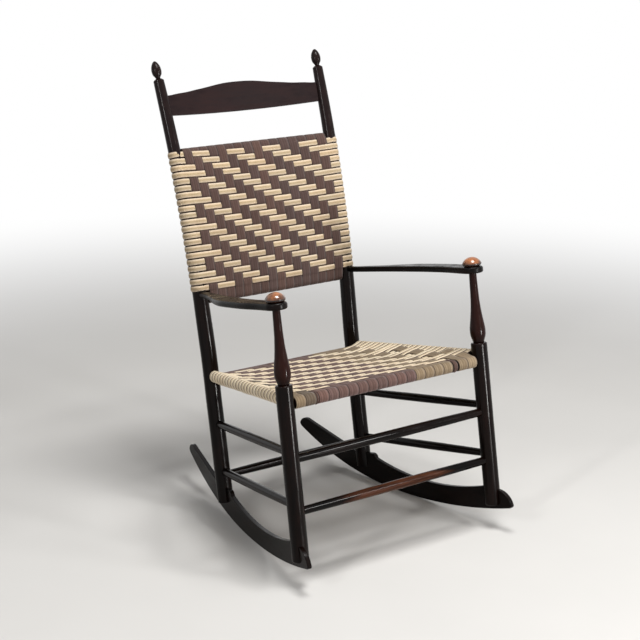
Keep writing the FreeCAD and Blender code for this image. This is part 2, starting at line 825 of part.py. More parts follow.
def pad_section(scale, height):
    """Rounded outline of the pad, drawn in from its full size."""
    near, far = pad_inset, chair_depth - pad_inset
    middle = (near + far) / 2
    corners = [Vector(-pad_front_half_width, near, 0), Vector(pad_front_half_width, near, 0),
               Vector(pad_back_half_width, far, 0), Vector(-pad_back_half_width, far, 0)]
    corners = [Vector(c.x * scale, middle + (c.y - middle) * scale, height) for c in corners]
    edges = []
    ends = []
    for i, corner in enumerate(corners):
        before, after = corners[i - 1], corners[(i + 1) % 4]
        a = corner + (before - corner).normalize() * pad_corner_round * scale
        b = corner + (after - corner).normalize() * pad_corner_round * scale
        turn = between(midpoint(a, b), corner, pad_corner_share)
        ends.append((a, b))
        edges.append(arc(a, turn, b))
        edges.append(None)
    for i in range(4):
        edges[2 * i + 1] = line(ends[i][1], ends[(i + 1) % 4][0])
    return Part.Wire(edges)


def seat_pad():
    floor = max(front_rail_height, back_rail_height) - seat_rail_radius - wrap_gap + seat_gap
    levels = [pad_section(scale, floor + pad_height * share)
              for share, scale in zip(pad_level_shares, pad_scale_shares)]
    return Part.makeLoft(levels, True, True)


# Assembly

def build():
    """Every node of the chair, in the chair's own frame."""
    nodes = {}
    front_post, back_post = front_post_body(), back_post_body()
    front_r, cross_end = front_post_radius, cross_rung_end_radius

    side_rungs = [side_stretcher(h, h, rung_tenon_depth, side_rung_end_radius) for h in side_rung_heights]
    front_rungs = [cross_stretcher(front_axis, h, front_r, rung_tenon_depth, cross_end)
                   for h in front_rung_heights]
    back_rung = cross_stretcher(back_axis, back_rung_height, back_radius(back_rung_height),
                                rung_tenon_depth, cross_end)
    side_rail = side_stretcher(side_rail_height, side_rail_height, rail_tenon_depth, rail_tenon_radius)
    front_rail = cross_stretcher(front_axis, front_rail_height, front_r, rail_tenon_depth, rail_tenon_radius)
    back_rail = cross_stretcher(back_axis, back_rail_height, back_radius(back_rail_height),
                                rail_tenon_depth, rail_tenon_radius)
    panel_rails = [cross_stretcher(back_axis, h, back_radius(h), panel_tenon_depth, panel_tenon_radius)
                   for h in (lower_panel_rail_height, upper_panel_rail_height)]

    # A side tenon crosses the tenon of the rung or rail beside it and notches it
    side_holes = [hole for bar in side_rungs + [side_rail] for hole in bar.mortises()]
    notches = side_holes + [mirrored(hole) for hole in side_holes]

    for name, bar in zip(("front_rung_lower", "front_rung_upper"), front_rungs):
        nodes[name] = bar.swelled(cross_rung_radius).cut(notches)
    nodes["back_rung"] = back_rung.swelled(cross_rung_radius).cut(notches)
    for level, bar in zip(("lower", "upper"), side_rungs):
        nodes.update(sided("side_rung_" + level, bar.swelled(side_rung_radius)))
    nodes["seat_rail_front"] = front_rail.straight(seat_rail_radius).cut(notches)
    nodes["seat_rail_back"] = back_rail.straight(seat_rail_radius).cut(notches)
    nodes.update(sided("seat_rail", side_rail.straight(seat_rail_radius)))
    nodes["back_rail_lower"] = panel_rails[0].straight(panel_rail_radius)
    nodes["back_rail_upper"] = panel_rails[1].straight(panel_rail_radius)

    rocker = rocker_body()
    slot = rocker_blank(rocker_thickness + 2 * slot_clearance, slot_clearance)
    front_pin, front_pin_hole = rocker_pin(0, front_pin_height, front_axis, front_post)
    back_pin, back_pin_hole = rocker_pin(rocker_run, back_pin_height, back_axis, back_post)
    nodes.update(sided("rocker", rocker.cut([front_pin_hole, back_pin_hole])))
    pins = [front_pin, back_pin]
    nodes["rocker_pins"] = Part.makeCompound(pins + [mirrored(pin) for pin in pins])

    pin, pin_hole = slat_pin(back_post)
    slat = slat_blank(slat_thickness, 0)
    slat_mortise = slat_blank(slat_thickness + 2 * tenon_clearance, tenon_clearance)
    nodes["top_slat"] = slat.cut([pin_hole, mirrored(pin_hole)])
    nodes["slat_pins"] = Part.makeCompound([pin, mirrored(pin)])

    arm = arm_body().fuse(arm_back_tenon(0)).removeSplitter()
    nodes.update(sided("arm", arm))
    nodes.update(sided("arm_cap", arm_cap()))

    front_holes = [bar.mortises()[1] for bar in front_rungs + [front_rail]]
    front_holes += [bar.mortises()[0] for bar in side_rungs + [side_rail]]
    nodes.update(sided("front_post", front_post.cut(front_holes + [slot, front_pin_hole])))
    back_holes = [bar.mortises()[1] for bar in side_rungs + [side_rail, back_rung, back_rail] + panel_rails]
    back_holes += [slot, back_pin_hole, slat_mortise, pin_hole, arm_back_tenon(tenon_clearance)]
    nodes.update(sided("back_post", back_post.cut(back_holes)))

    nodes["back_warp_tapes"] = Part.makeCompound([back_warp_turn(i) for i in range(back_warp_count())])
    nodes["back_weft_tapes"] = Part.makeCompound([back_weft_turn(i) for i in range(back_weft_count())])
    nodes["seat_warp_tapes"] = Part.makeCompound(seat_warp_turns())
    nodes["seat_gusset_tapes"] = Part.makeCompound(seat_gusset_strips())
    nodes["seat_weft_tapes"] = Part.makeCompound(seat_weft_turns())
    nodes["seat_pad"] = seat_pad()
    return nodes


def lean_and_set_down(nodes):
    """Lean the chair back to its rest and centre it over the origin."""
    lean = Placement(Vector(0, 0, 0), Rotation(Vector(1, 0, 0), -rest_lean_deg))
    for shape in nodes.values():
        shape.Placement = lean.multiply(shape.Placement)
    box = FreeCAD.BoundBox()
    for shape in nodes.values():
        box.add(shape.optimalBoundingBox(False, False))
    shift = Vector(0, -(box.YMin + box.YMax) / 2, -box.ZMin)
    for shape in nodes.values():
        shape.translate(shift)


def main():
    os.makedirs("parts", exist_ok=True)
    nodes = build()
    lean_and_set_down(nodes)
    for name, shape in nodes.items():
        shape.exportStep("parts/" + name + ".step")
        print(name, "solids", len(shape.Solids), "valid", shape.isValid(), "volume", round(shape.Volume, 1))


if __name__ == "__main__":
    main()
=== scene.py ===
"""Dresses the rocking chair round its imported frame, sets it on a pale floor and lights it.

The woven tapes are worked out in the chair's own upright frame, in millimetres: x runs to
the viewer's right, y runs back from the front posts, and height runs up from the front feet.
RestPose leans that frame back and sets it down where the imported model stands. Materials,
floor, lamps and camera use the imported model's frame, in metres.
"""
import logging
import math
import random
from dataclasses import dataclass
from enum import Enum
from functools import partial
from typing import Callable

import bmesh
import bpy
from mathutils import Matrix, Vector


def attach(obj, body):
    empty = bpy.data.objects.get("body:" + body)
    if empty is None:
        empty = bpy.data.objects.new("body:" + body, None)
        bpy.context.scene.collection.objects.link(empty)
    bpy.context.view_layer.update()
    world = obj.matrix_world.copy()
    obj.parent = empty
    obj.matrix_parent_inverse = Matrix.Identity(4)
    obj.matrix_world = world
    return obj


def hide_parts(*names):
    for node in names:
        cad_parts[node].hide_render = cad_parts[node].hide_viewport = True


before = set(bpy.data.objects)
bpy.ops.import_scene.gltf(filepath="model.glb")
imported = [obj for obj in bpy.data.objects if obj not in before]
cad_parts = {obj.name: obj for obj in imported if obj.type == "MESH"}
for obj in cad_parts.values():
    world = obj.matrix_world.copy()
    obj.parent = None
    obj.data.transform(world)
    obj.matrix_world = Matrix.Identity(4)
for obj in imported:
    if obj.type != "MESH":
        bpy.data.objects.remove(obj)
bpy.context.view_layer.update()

LOG = logging.getLogger("rocking_chair")
MM = 0.001

Colour = tuple[float, float, float]
Spot = tuple[float, float, float]
Span = tuple[float, float]
Station = tuple[Vector, Vector]
Stations = list[Station]
Run = Callable[[float], Stations]
Socket = bpy.types.NodeSocket
Material = bpy.types.Material
Feeds = dict[str | int, object]

RIGHTWARDS = Vector((1.0, 0.0, 0.0))
BACKWARDS = Vector((0.0, 1.0, 0.0))
UPWARDS = Vector((0.0, 0.0, 1.0))
BOTH_FACES = (1.0, -1.0)
POST_STEPS = 12
RAIL_STEPS = 10


# Plain helpers

def held(value: float, low: float = 0.0, high: float = 1.0) -> float:
    """A value held between two others."""
    return min(max(value, low), high)


def ease(share: float) -> float:
    """Smooth step from 0 to 1, held outside them."""
    share = held(share)
    return share * share * (3 - 2 * share)


def blend(start: float, end: float, share: float) -> float:
    """The value at a share of the way from a start to an end."""
    return start + (end - start) * share


def spread(start: float, end: float, steps: int) -> list[float]:
    """Values from a start to an end, in equal steps."""
    return [blend(start, end, i / steps) for i in range(steps + 1)]


def linked(name: str, data: bpy.types.ID) -> bpy.types.Object:
    """Puts an object with some data into the scene.

    Args:
        name: the object's name.
        data: its mesh, lamp or camera.

    Returns:
        The object.
    """
    made = bpy.data.objects.new(name, data)
    bpy.context.scene.collection.objects.link(made)
    return made


def finished(name: str, mesh: bmesh.types.BMesh, material: Material) -> bpy.types.Object:
    """Puts a finished mesh into the scene as an object.

    Args:
        name: the object's name.
        mesh: its mesh, which is freed.
        material: its only material.

    Returns:
        The object.
    """
    data = bpy.data.meshes.new(name)
    mesh.to_mesh(data)
    mesh.free()
    data.materials.append(material)
    return linked(name, data)


# Places and lines of the chair

@dataclass(frozen=True)
class RestPose:
    """How the chair leans and where it stands at rest."""

    lean_deg: float = 10.3
    shift_back: float = -318.076
    shift_up: float = 59.011

    def turned(self, way: Vector) -> Vector:
        """Leans a direction of the chair's own frame back.

        Args:
            way: a direction or offset in the chair's own frame.

        Returns:
            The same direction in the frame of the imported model.
        """
        lean = math.radians(self.lean_deg)
        cos, sin = math.cos(lean), math.sin(lean)
        return Vector((way.x, way.y * cos + way.z * sin, way.z * cos - way.y * sin))

    def placed(self, point: Vector) -> Vector:
        """Sets a point of the chair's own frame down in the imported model, in metres."""
        return (self.turned(point) + Vector((0.0, self.shift_back, self.shift_up))) * MM


@dataclass(frozen=True)
class ChairLines:
    """Centre lines and radii of the posts and rails that carry the tapes."""

    front_half_gap: float = 272.5
    front_slope: float = 0.0056
    back_half_gap: float = 206.1
    back_outward_slope: float = 0.0027
    depth: float = 421.9
    back_slope: float = 0.0095
    slope_start: float = 110.4
    splay_height: float = 398.4
    splay_slope: float = 0.028
    bend_height: float = 494.4
    bend_radius: float = 2806.1
    bend_end_height: float = 1003.2
    back_shoulder: float = 1058.4
    back_post_radius: float = 19.1
    radius_places: tuple[float, ...] = (0.045, 0.09, 0.38, 0.45, 0.52, 0.6, 0.68, 0.76, 0.84, 0.9, 0.95, 1.0)
    radius_shares: tuple[float, ...] = (0.97, 1.0, 1.0, 0.985, 0.945, 0.895, 0.852, 0.815, 0.784, 0.75,
                                        0.714, 0.66)
    front_rail: float = 345.6
    side_rail: float = 356.6
    back_rail: float = 342.7
    seat_rail_radius: float = 12.0
    lower_panel_rail: float = 540.5
    upper_panel_rail: float = 883.7
    panel_rail_radius: float = 10.6

    def front_axis(self, height: float) -> Vector:
        """Centre of the right front post at a height."""
        return Vector((self.front_half_gap - self.front_slope * height, 0.0, height))

    def back_axis(self, height: float) -> Vector:
        """Centre of the right back post at a height.

        Args:
            height: height above the front feet.

        Returns:
            The point, on a line that splays, then bends back and runs on straight.
        """
        x = self.back_half_gap + self.back_outward_slope * height
        x += (self.splay_slope - self.back_outward_slope) * max(height - self.splay_height, 0.0)
        bent = held(height - self.bend_height, 0.0, self.bend_end_height - self.bend_height)
        y = self.depth + self.back_slope * (height - self.slope_start)
        y += bent * bent / (2 * self.bend_radius)
        y += bent / self.bend_radius * max(height - self.bend_end_height, 0.0)
        return Vector((x, y, height))

    def back_lean(self, height: float) -> Vector:
        """Upward direction of the back posts at a height, seen from the side."""
        rise = self.back_axis(height + 1.0) - self.back_axis(height - 1.0)
        return Vector((0.0, rise.y, rise.z)).normalized()

    def back_ahead(self, height: float) -> Vector:
        """Forward direction, square to the back posts at a height."""
        lean = self.back_lean(height)
        return Vector((0.0, -lean.z, lean.y))

    def back_radius(self, height: float) -> float:
        """Radius of the back posts at a height.

        Args:
            height: height above the front feet.

        Returns:
            The radius, which shrinks towards the posts' shoulders.
        """
        place = height / self.back_shoulder
        places, shares = self.radius_places, self.radius_shares
        for low, high, first, last in zip(places, places[1:], shares, shares[1:]):
            if place <= high:
                return self.back_post_radius * blend(first, last, max(place - low, 0.0) / (high - low))
        return self.back_post_radius * shares[-1]

    def side_rail_axis(self, place: float) -> Vector:
        """Centre of the right seat rail at a distance behind the front posts."""
        start, end = self.front_axis(self.side_rail), self.back_axis(self.side_rail)
        return start.lerp(end, place / end.y)

    def seat_back(self) -> float:
        """Distance of the back seat rail behind the front one."""
        return self.back_axis(self.back_rail).y

    def seat_level(self, place: float) -> float:
        """Height of the line between the front and back seat rails at a place."""
        return blend(self.front_rail, self.back_rail, place / self.seat_back())


POSE = RestPose()
LINES = ChairLines()


# Finishes

class Nodes:
    """Short way to lay out the nodes of a material or of the world."""

    def __init__(self, owner: bpy.types.ID, output: str) -> None:
        """Empties the owner's tree of nodes and gives it an output.

        Args:
            owner: the material or the world.
            output: the kind of its output.
        """
        owner.use_nodes = True
        self.tree = owner.node_tree
        self.tree.nodes.clear()
        self.end = self.add(output).inputs["Surface"]

    def feed(self, socket: Socket, value: object) -> None:
        """Gives an input its value.

        Args:
            socket: the input.
            value: a number, a colour, a vector, or the output of another node.
        """
        if isinstance(value, Socket):
            self.tree.links.new(value, socket)
        else:
            socket.default_value = (*value, 1.0) if socket.type == "RGBA" else value

    def add(self, kind: str, feeds: Feeds | None = None, **settings: object) -> bpy.types.Node:
        """Adds a node.

        Args:
            kind: its type without the ShaderNode in front.
            feeds: what its inputs get, under their names or numbers.
            settings: its properties.

        Returns:
            The new node.
        """
        node = self.tree.nodes.new("ShaderNode" + kind)
        for key, value in settings.items():
            setattr(node, key, value)
        for key, value in (feeds or {}).items():
            self.feed(node.inputs[key], value)
        return node

    def math(self, kind: str, first: object, second: object = 0.0) -> Socket:
        """One sum of two values, of a kind that the Math node names."""
        return self.add("Math", {0: first, 1: second}, operation=kind).outputs[0]

    def times(self, first: object, second: object) -> Socket:
        """The product of two values."""
        return self.math("MULTIPLY", first, second)

    def seen(self) -> Socket:
        """Tells the rays that look past the chair from those that light it.

        Returns:
            An output that is 1 for rays from the camera, a reflection or glass, and 0 for others.
        """
        path = self.add("LightPath").outputs
        mirrored = self.math("MAXIMUM", path["Is Camera Ray"], path["Is Glossy Ray"])
        return self.math("MAXIMUM", mirrored, path["Is Transmission Ray"])


class Finish(Nodes):
    """The nodes of one material, with its surface shader and the object's coordinates."""

    def __init__(self, name: str) -> None:
        """Starts a material.

        Args:
            name: its name.
        """
        self.material = bpy.data.materials.new(name)
        super().__init__(self.material, "OutputMaterial")
        self.surface = self.add("BsdfPrincipled")
        self.feed(self.end, self.surface.outputs["BSDF"])
        self.where = self.add("TexCoord").outputs["Object"]

    def ranged(self, value: object, span: Span, onto: Span = (0.0, 1.0)) -> Socket:
        """Spreads a value over a new range.

        Args:
            value: the value.
            span: its values at the range's start and end, where it is held.
            onto: the new values there.

        Returns:
            The new value's output.
        """
        ends = dict(zip(("From Min", "From Max", "To Min", "To Max"), span + onto))
        node = self.add("MapRange", {"Value": value, **ends}, interpolation_type="SMOOTHSTEP")
        return node.outputs["Result"]

    def noise(self, where: Socket, scale: float, detail: float, rough: float) -> Socket:
        """Soft noise over a set of coordinates.

        Args:
            where: the coordinates' output.
            scale: the noise's scale.
            detail: how many finer layers it has.
            rough: how strong the finer layers are.

        Returns:
            The noise's output.
        """
        feeds = {"Vector": where, "Scale": scale, "Detail": detail, "Roughness": rough}
        return self.add("TexNoise", feeds).outputs["Fac"]

    def stretched(self, where: Socket, scale: Spot) -> Socket:
        """Coordinates stretched by a factor along each axis."""
        return self.add("Mapping", {"Vector": where, "Scale": scale}).outputs["Vector"]

    def parts(self, where: Socket) -> list[Socket]:
        """The three parts of a direction or of coordinates."""
        return self.add("SeparateXYZ", {0: where}).outputs[:3]

    def distance(self, centre: Spot = (0.0, 0.0, 0.0), reach: Spot = (1.0, 1.0, 1.0)) -> Socket:
        """Distance of the surface from a centre.

        Args:
            centre: the centre, in metres.
            reach: what counts as 1 along each axis.

        Returns:
            The distance's output.
        """
        offset = self.add("VectorMath", {0: self.where, 1: centre}, operation="SUBTRACT").outputs[0]
        shares = self.add("VectorMath", {0: offset, 1: reach}, operation="DIVIDE").outputs[0]
        return self.add("VectorMath", {0: shares}, operation="LENGTH").outputs["Value"]

    def ramp(self, value: Socket, span: Span, colours: tuple[Colour, Colour]) -> Socket:
        """Colours over a value.

        Args:
            value: the value's output.
            span: its values where the colours stand pure.
            colours: the two colours.

        Returns:
            The colour's output.
        """
        node = self.add("ValToRGB", {"Fac": value})
        for element, place, colour in zip(node.color_ramp.elements, span, colours):
            element.position, element.color = place, (*colour, 1.0)
        return node.outputs["Color"]

    def mixed(self, kind: str, share: object, first: object, second: object) -> Socket:
        """Two colours mixed.

        Args:
            kind: the way that the Mix node blends them.
            share: a number or output from 0 to 1.
            first: a colour or a colour's output.
            second: the same for the colour that is mixed in.

        Returns:
            The mixed colour's output.
        """
        node = self.add("Mix", data_type="RGBA", blend_type=kind)
        self.feed(node.inputs["Factor"], share)
        sockets = [s for s in node.inputs if s.type == "RGBA"]
        for socket, colour in zip(sockets, (first, second)):
            self.feed(socket, colour)
        return next(s for s in node.outputs if s.type == "RGBA")

    def tinted(self, colour: Socket, share: object, shade: Colour) -> Socket:
        """A colour darkened by a share of a shade."""
        return self.mixed("MULTIPLY", share, colour, shade)

    def bump(self, height: Socket, strength: float, depth: float) -> Socket:
        """Direction of a surface that a height raises.

        Args:
            height: the height's output.
            strength: how strong the bump is.
            depth: the depth in metres that a height of 1 stands for.

        Returns:
            The direction's output.
        """
        feeds = {"Strength": strength, "Distance": depth, "Height": height}
        return self.add("Bump", feeds).outputs["Normal"]

    def done(self, colour: Socket, feeds: Feeds) -> Material:
        """Feeds the surface shader and hands over the material.

        Args:
            colour: the base colour's output.
            feeds: what its other inputs get, under their names.

        Returns:
            The finished material.
        """
        for key, value in {"Base Color": colour, **feeds}.items():
            self.feed(self.surface.inputs[key], value)
        return self.material


class Grain(Enum):
    """Which way the grain of a piece of wood runs: how fast it changes along each axis."""

    UPRIGHT = (1.0, 1.0, 0.07)
    ACROSS = (0.07, 1.0, 1.0)
    BACKWARD = (1.0, 0.07, 1.0)


@dataclass(frozen=True)
class StainedWood:
    """Glossy, nearly black stain over turned hardwood, with red showing through and wear.

    The base turns from dark to pale between two heights in metres, which lie above the whole chair unless a
    piece says otherwise.
    On the back posts the paler top is painted reflection; on the vases of the front posts it is the wood's
    red-brown tone.
    """

    name: str
    grain: Grain = Grain.UPRIGHT
    dark: Colour = (0.0009, 0.0006, 0.0005)
    red: Colour = (0.0062, 0.002, 0.0016)
    red_share: float = 0.5
    # The default paler colour is painted reflection, for the upper part of the back posts.
    pale: Colour = (0.0085, 0.005, 0.0052)
    tone_and_sheen_heights: Span = (9.0, 9.5)
    worn: Colour = (0.2, 0.06, 0.022)
    wear: float = 0.012
    wear_centre: Spot = (0.0, 0.0, 0.5)
    wear_reach: Spot = (9.0, 9.0, 9.0)
    wear_rough: float = 0.2
    gloss: float = 0.045
    smear: float = 1.7
    grain_scale: float = 220.0

    def material(self) -> Material:
        """Lays out the stain, its grain, its worn places and its polish.

        Returns:
            The finished material.
        """
        n = Finish(self.name)
        along = n.stretched(n.where, tuple(self.grain_scale * s for s in self.grain.value))
        streaks = n.noise(along, scale=1.0, detail=5.0, rough=0.62)
        patches = n.noise(n.where, scale=9.0, detail=3.0, rough=0.6)
        scuffs = n.noise(along, scale=0.45, detail=6.0, rough=0.7)
        smears = n.noise(n.where, scale=26.0, detail=4.0, rough=0.6)
        red = n.times(n.ranged(patches, (0.38, 0.68)), self.red_share)
        red = n.times(red, n.ranged(streaks, (0.3, 0.7), (0.35, 1.0)))
        # Paler base above a height: painted reflection on the back posts, red-brown wood tone on the vases.
        tone_and_sheen_share = n.ranged(n.parts(n.where)[2], self.tone_and_sheen_heights)
        base = n.mixed("MIX", red, n.mixed("MIX", tone_and_sheen_share, self.dark, self.pale), self.red)
        near = n.ranged(n.distance(self.wear_centre, self.wear_reach), (0.25, 1.0), (1.0, 0.0))
        wear = n.ranged(n.times(near, scuffs), (0.36, 0.62))
        polish = n.ranged(smears, (0.3, 0.75), (self.gloss, self.gloss * self.smear))
        return n.done(n.mixed("MIX", n.times(wear, self.wear), base, self.worn), {
            "Roughness": n.math("ADD", polish, n.times(wear, self.wear_rough)),
            "Specular IOR Level": 0.1,
            "Normal": n.bump(n.math("ADD", n.times(streaks, 0.3), smears), strength=0.012, depth=0.0005)})


@dataclass(frozen=True)
class CapWood:
    """Arm caps: stain rubbed through to warm brown on top, dark round the rim."""

    name: str = "cap_wood"
    dark: Colour = (0.016, 0.0055, 0.0035)
    warm: Colour = (0.38, 0.125, 0.028)
    vein: Colour = (0.35, 0.22, 0.16)

    def material(self) -> Material:
        """Lays out the rubbed top, the dark rim and the grain.

        Returns:
            The finished material.
        """
        n = Finish(self.name)
        grain = n.noise(n.stretched(n.where, (160.0, 30.0, 160.0)), scale=1.0, detail=5.0, rough=0.6)
        patches = n.noise(n.where, scale=45.0, detail=4.0, rough=0.6)
        top = n.ranged(n.parts(n.add("NewGeometry").outputs["Normal"])[2], (0.25, 0.92))
        rubbed = n.times(top, n.ranged(patches, (0.32, 0.62), (0.2, 1.0)))
        colour = n.mixed("MIX", rubbed, self.dark, self.warm)
        return n.done(n.tinted(colour, n.ranged(grain, (0.35, 0.75), (0.0, 0.55)), self.vein), {
            "Roughness": n.ranged(patches, (0.3, 0.7), (0.14, 0.26)),
            "Specular IOR Level": 0.42,
            "Coat Weight": 0.35,
            "Coat Roughness": 0.14,
            "Normal": n.bump(grain, strength=0.2, depth=0.0005)})


@dataclass(frozen=True)
class TapeCloth:
    """Flat woven tape, coloured by its own attribute, with ribs along it, picks across, and painted shade
    along its rims.
    """

    name: str
    ribs: float = 5.0
    pick: float = 0.0013
    pick_slant: float = 7.0
    picks: float = 0.7
    rib_dark: float = 0.4
    streak: float = 0.25
    blotch: float = 0.28
    heart: float = 0.9
    edge_light: float = 0.55
    gap_shade: float = 0.95
    gap_shade_from: float = 0.86
    gap_shade_run: float = 0.06

    def material(self) -> Material:
        """Lays out the tape's ribs and picks, its fading, and its pale edges with dark rims.

        Returns:
            The finished material.
        """
        n = Finish(self.name)
        flat = n.add("UVMap", uv_map="tape").outputs["UV"]
        along, across, _ = n.parts(flat)
        slant = n.math("ABSOLUTE", across)
        ribs = n.math("SINE", n.times(across, math.pi * self.ribs))
        picks = n.math("SINE", n.math("ADD", n.times(along, 2 * math.pi / self.pick),
                                      n.times(slant, self.pick_slant)))
        weave = n.times(n.math("ADD", ribs, n.times(picks, self.picks)), 0.5)
        fuzz = n.noise(n.where, scale=900.0, detail=3.0, rough=0.7)
        blotches = n.noise(n.where, scale=24.0, detail=3.0, rough=0.6)
        streaks = n.noise(n.stretched(flat, (9.0, 14.0, 1.0)), scale=1.0, detail=4.0, rough=0.65)
        speckle = n.noise(n.stretched(flat, (420.0, 5.0, 1.0)), scale=1.0, detail=3.0, rough=0.6)
        heart = n.times(n.ranged(slant, (0.1, 0.62), (self.heart, 0.0)),
                        n.ranged(speckle, (0.3, 0.65), (0.35, 1.0)))
        # Painted shade: the rims darken where neighbouring tapes meet and shade each other.
        rim = n.ranged(slant, (self.gap_shade_from, self.gap_shade_from + self.gap_shade_run), (0.0, self.gap_shade))
        colour = n.add("Attribute", attribute_name="tape_colour", attribute_type="GEOMETRY").outputs["Color"]
        colour = n.tinted(colour, n.ranged(streaks, (0.35, 0.7), (0.0, self.streak)), (0.55, 0.47, 0.42))
        colour = n.tinted(colour, n.ranged(blotches, (0.4, 0.7), (0.0, self.blotch)), (0.7, 0.6, 0.52))
        colour = n.tinted(colour, heart, (0.52, 0.47, 0.34))
        edge = n.ranged(slant, (0.55, 0.95), (0.0, self.edge_light))
        colour = n.mixed("SCREEN", edge, colour, (0.34, 0.31, 0.26))
        colour = n.tinted(colour, rim, (0.16, 0.1, 0.07))
        colour = n.tinted(colour, n.ranged(weave, (-0.8, 0.3), (self.rib_dark, 0.0)), (0.5, 0.45, 0.42))
        return n.done(colour, {
            "Roughness": 0.86,
            "Specular IOR Level": 0.2,
            "Sheen Weight": 0.12,
            "Sheen Roughness": 0.5,
            "Normal": n.bump(n.math("ADD", weave, n.times(fuzz, 0.7)), strength=0.6, depth=0.0003)})


@dataclass(frozen=True)
class PadCloth:
    """Unbleached cloth of the pad between the seat's two layers."""

    name: str = "pad_cloth"
    threads: float = 3800.0
    shades: tuple[Colour, Colour] = ((0.32, 0.26, 0.19), (0.46, 0.4, 0.31))

    def material(self) -> Material:
        """Lays out a plain coarse weave.

        Returns:
            The finished material.
        """
        n = Finish(self.name)
        warp, weft = (n.math("SINE", n.times(part, self.threads)) for part in n.parts(n.where)[:2])
        stains = n.noise(n.where, scale=14.0, detail=4.0, rough=0.6)
        return n.done(n.ramp(stains, (0.3, 0.7), self.shades), {
            "Roughness": 0.92,
            "Specular IOR Level": 0.15,
            "Normal": n.bump(n.times(warp, weft), strength=0.5, depth=0.0004)})


# Tapes

@dataclass(frozen=True)
class TapeShades:
    """Colours of the tapes, as light from 0 to 1."""

    tan: Colour = (0.57, 0.465, 0.335)
    seat_tan: Colour = (0.82, 0.715, 0.55)
    corner_tan: Colour = (0.3, 0.237, 0.158)
    roll: Colour = (0.1, 0.06, 0.05)
    olive: Colour = (0.235, 0.181, 0.118)
    brown: Colour = (0.084, 0.051, 0.045)
    mauve: Colour = (0.136, 0.081, 0.072)
    dusk: Colour = (0.14, 0.108, 0.078)


SHADES = TapeShades()
WARMTH_SHARE = 0.4


def shaded(colour: Colour, luck: random.Random, change: float) -> Colour:
    """A colour made a little lighter, darker, redder or greyer.

    Args:
        colour: the colour to start from.
        luck: the seeded source of chance.
        change: how far it may move.

    Returns:
        The new colour.
    """
    light = 1 + luck.uniform(-change, change)
    warm = luck.uniform(-change, change) * WARMTH_SHARE
    return (colour[0] * light * (1 + warm), colour[1] * light, colour[2] * light * (1 - warm))


def woven(sides: list[float], cell: float, step: float = 0.34) -> float:
    """How far over or under a tape runs at a place among the tapes that it crosses.

    Args:
        sides: 1 where it passes over a crossed tape, -1 where it passes under.
        cell: the place, where a whole number is the middle of a crossed tape.
        step: share of a crossed tape's width in which it changes side.

    Returns:
        A height from -1 to 1; 0 beyond the crossed tapes.
    """
    index = math.floor(cell)
    first, second = (sides[i] if 0 <= i < len(sides) else 0.0 for i in (index, index + 1))
    return blend(first, second, ease((cell - index - 0.5) / step + 0.5))


def bend(centre: Vector, start: Vector, half_way: Vector, radius: float, steps: int) -> Stations:
    """Half a turn of a tape round a rail or a post.

    Args:
        centre: a point on the rail's or post's centre line.
        start: the direction out of it in which the turn starts.
        half_way: the direction half way round.
        radius: distance of the tape from the centre.
        steps: in how many steps it turns.

    Returns:
        The stations between the turn's two ends.
    """
    turns = [math.pi * i / steps for i in range(1, steps)]
    outs = [start * math.cos(turn) + half_way * math.sin(turn) for turn in turns]
    return [(centre + out * radius, out) for out in outs]


@dataclass
class Ribbon:
    """One tape, laid along a run of stations and curved a little across its width.

    The run gives, at a distance to one side of the tape's middle, the points that the tape
    passes, each with the direction out of its face.
    """

    run: Run
    width: float
    colour: Colour
    crown: float
    closed: bool = True
    lines_across: int = 4
    crown_level: float = 0.45
    weld: float = 0.00002

    def lay(self, mesh: bmesh.types.BMesh) -> None:
        """Adds the tape to a mesh: a flat grid, laid along the stations.

        Args:
            mesh: the mesh that takes it, with its uv and colour layers.
        """
        uv = mesh.loops.layers.uv["tape"]
        paint = mesh.verts.layers.float_color["tape_colour"]
        shares = spread(-1.0, 1.0, self.lines_across)
        lines = [self.run(share * self.width / 2) for share in shares]
        middle = lines[self.lines_across // 2]
        lengths = [0.0]
        for (a, _), (b, _) in zip(middle, middle[1:]):
            lengths.append(lengths[-1] + (b - a).length * MM)
        last = len(middle) - 1
        made = bmesh.ops.create_grid(mesh, x_segments=last, y_segments=self.lines_across, size=1.0)["verts"]
        flat = {}
        for vert in made:
            i = round((vert.co.x + 1) / 2 * last)
            j = round((vert.co.y + 1) / 2 * self.lines_across)
            point, out = lines[j][i]
            flat[vert] = (lengths[i], shares[j], out)
            vert.co = POSE.placed(point + out * self.crown * (self.crown_level - shares[j] ** 2))
            vert[paint] = (*self.colour, 1.0)
        faces = list(dict.fromkeys(face for vert in made for face in vert.link_faces))
        for face in faces:
            face.smooth = True
            for loop in face.loops:
                loop[uv].uv = flat[loop.vert][:2]
        sample = faces[0]
        sample.normal_update()
        if sample.normal.dot(POSE.turned(flat[sample.verts[0]][2])) < 0:
            bmesh.ops.reverse_faces(mesh, faces=faces)
        if self.closed:
            bmesh.ops.remove_doubles(mesh, verts=made, dist=self.weld)


@dataclass
class TapePiece:
    """A set of tapes that is one object, and the node that it stands for; its slot is not used."""

    name: str
    node: str
    slot: str
    thickness: float = 1.25

    def make(self, ribbons: list[Ribbon], material: Material) -> None:
        """Lays the tapes, gives them thickness and hangs them on the chair.

        Args:
            ribbons: the tapes.
            material: their cloth.
        """
        mesh = bmesh.new()
        mesh.loops.layers.uv.new("tape")
        mesh.verts.layers.float_color.new("tape_colour")
        for ribbon in ribbons:
            ribbon.lay(mesh)
        piece = finished(self.name, mesh, material)
        wall = piece.modifiers.new("thickness", "SOLIDIFY")
        wall.thickness = self.thickness * MM
        wall.offset = 0.0
        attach(piece, "root")
        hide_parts(self.node)
        LOG.info("%s: %d tapes, %d faces", self.name, len(ribbons), len(piece.data.polygons))


